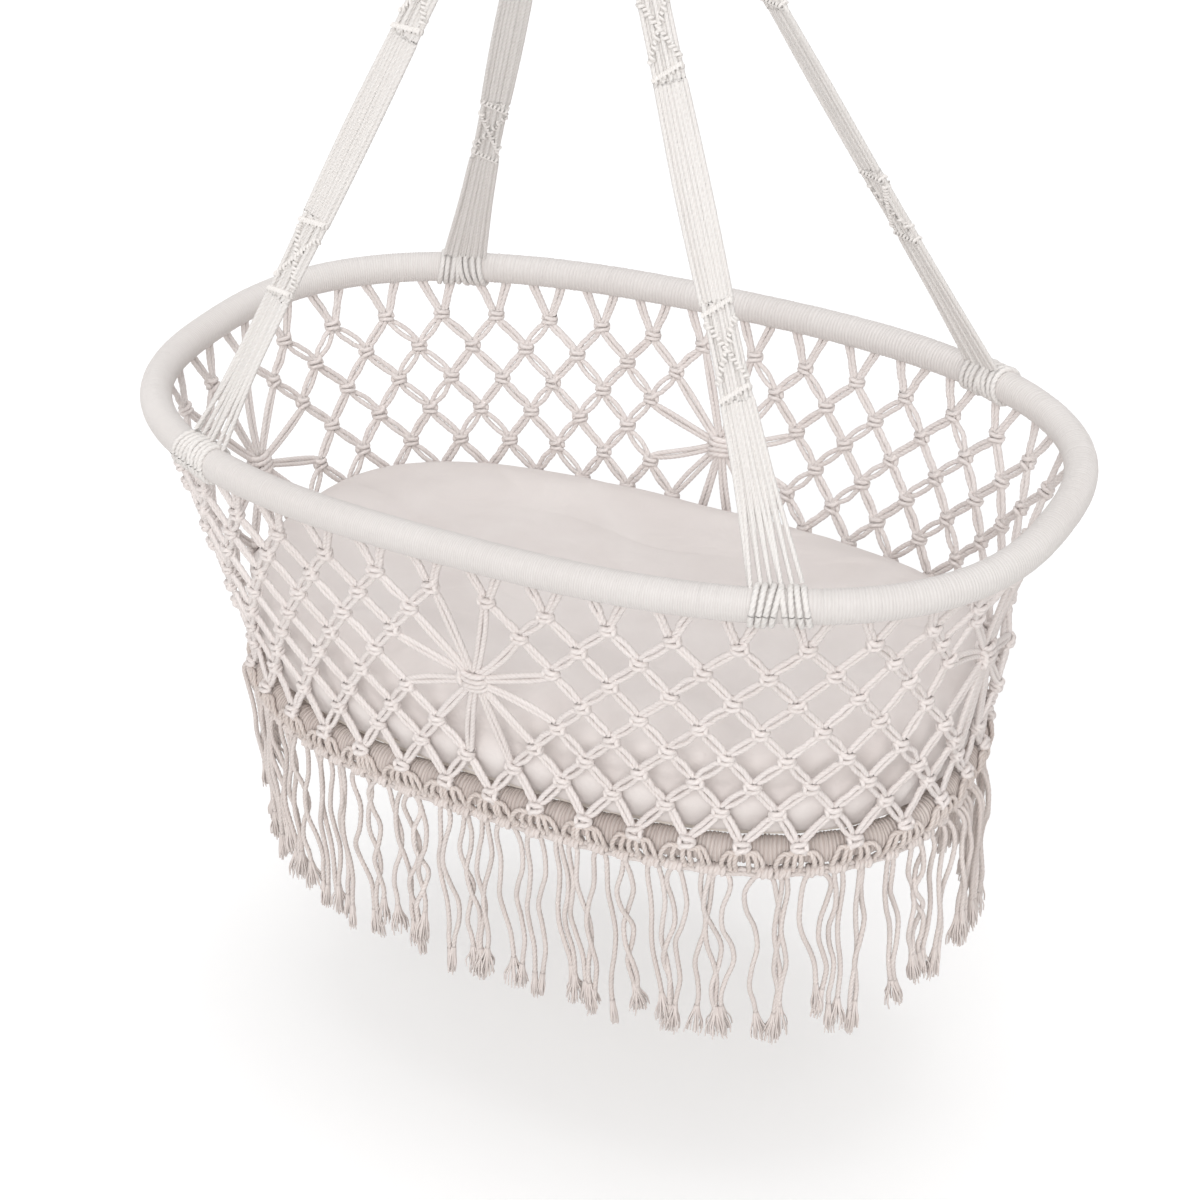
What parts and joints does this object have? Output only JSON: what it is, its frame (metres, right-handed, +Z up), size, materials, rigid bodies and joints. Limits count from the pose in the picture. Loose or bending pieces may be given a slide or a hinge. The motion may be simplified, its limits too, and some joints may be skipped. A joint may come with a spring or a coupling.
{
  "type": "hanging baby cradle",
  "caption": "Oval hanging baby cradle of knotted cotton cord: ring, straps, rim hoop, net with rosettes, base hoop with board and mattress, and a fringe. It swings two ways.",
  "frame": {"origin": "the point inside the top of the hanging ring where an outside hook bears", "axes": "+Z up, X along the cradle's long axis, -Y the front, which the picture shows from a little to the right and above"},
  "size_m": [0.8472, 0.5278, 1.2132],
  "materials": {
    "steel": "satin zinc-plated steel",
    "strap_cord": "matt twisted cotton cord, natural ecru",
    "wrap_cord": "matt fine cotton cord wound side by side",
    "net_cord": "matt twisted cotton cord, knotted",
    "fringe_cord": "matt loose cotton cord, frayed at the ends",
    "mattress_cotton": "smooth soft cotton, off-white",
    "plywood": "matt whitewashed plywood, its grain showing through"
  },
  "bodies": {
    "ring": {"hang_ring": "steel"},
    "crown": {"strap_crown": "strap_cord"},
    "cradle": {"strap_front_right": "strap_cord", "strap_back_right": "strap_cord", "strap_back_left": "strap_cord", "strap_front_left": "strap_cord", "lashing_front_right": "strap_cord", "lashing_back_right": "strap_cord", "lashing_back_left": "strap_cord", "lashing_front_left": "strap_cord", "rim_hoop": "steel", "rim_wrap_right": "wrap_cord", "rim_wrap_back": "wrap_cord", "rim_wrap_left": "wrap_cord", "rim_wrap_front": "wrap_cord", "net_rosette_front": "net_cord", "net_front_right_1": "net_cord", "net_front_right_2": "net_cord", "net_rosette_right": "net_cord", "net_right_back_1": "net_cord", "net_right_back_2": "net_cord", "net_rosette_back": "net_cord", "net_back_left_1": "net_cord", "net_back_left_2": "net_cord", "net_rosette_left": "net_cord", "net_left_front_1": "net_cord", "net_left_front_2": "net_cord", "base_hoop": "steel", "base_wrap_right": "wrap_cord", "base_wrap_back": "wrap_cord", "base_wrap_left": "wrap_cord", "base_wrap_front": "wrap_cord", "base_board": "plywood", "fringe_front": "fringe_cord", "fringe_front_right": "fringe_cord", "fringe_right": "fringe_cord", "fringe_right_back": "fringe_cord", "fringe_back": "fringe_cord", "fringe_back_left": "fringe_cord", "fringe_left": "fringe_cord", "fringe_left_front": "fringe_cord"},
    "mattress": {"mattress": "mattress_cotton"}
  },
  "joints": [
    {"name": "swing_sideways", "type": "hinge", "parent": "ring", "child": "crown", "pos_m": [0, 0, -0.064], "axis": [1, 0, 0], "range_deg": [-15, 15]},
    {"name": "swing_lengthwise", "type": "hinge", "parent": "crown", "child": "cradle", "pos_m": [0, 0, -0.12], "axis": [0, 1, 0], "range_deg": [-15, 15]},
    {"name": "mattress_lift", "type": "slide", "parent": "cradle", "child": "mattress", "axis": [0, 0, 1], "range_m": [0, 0.15]}
  ]
}
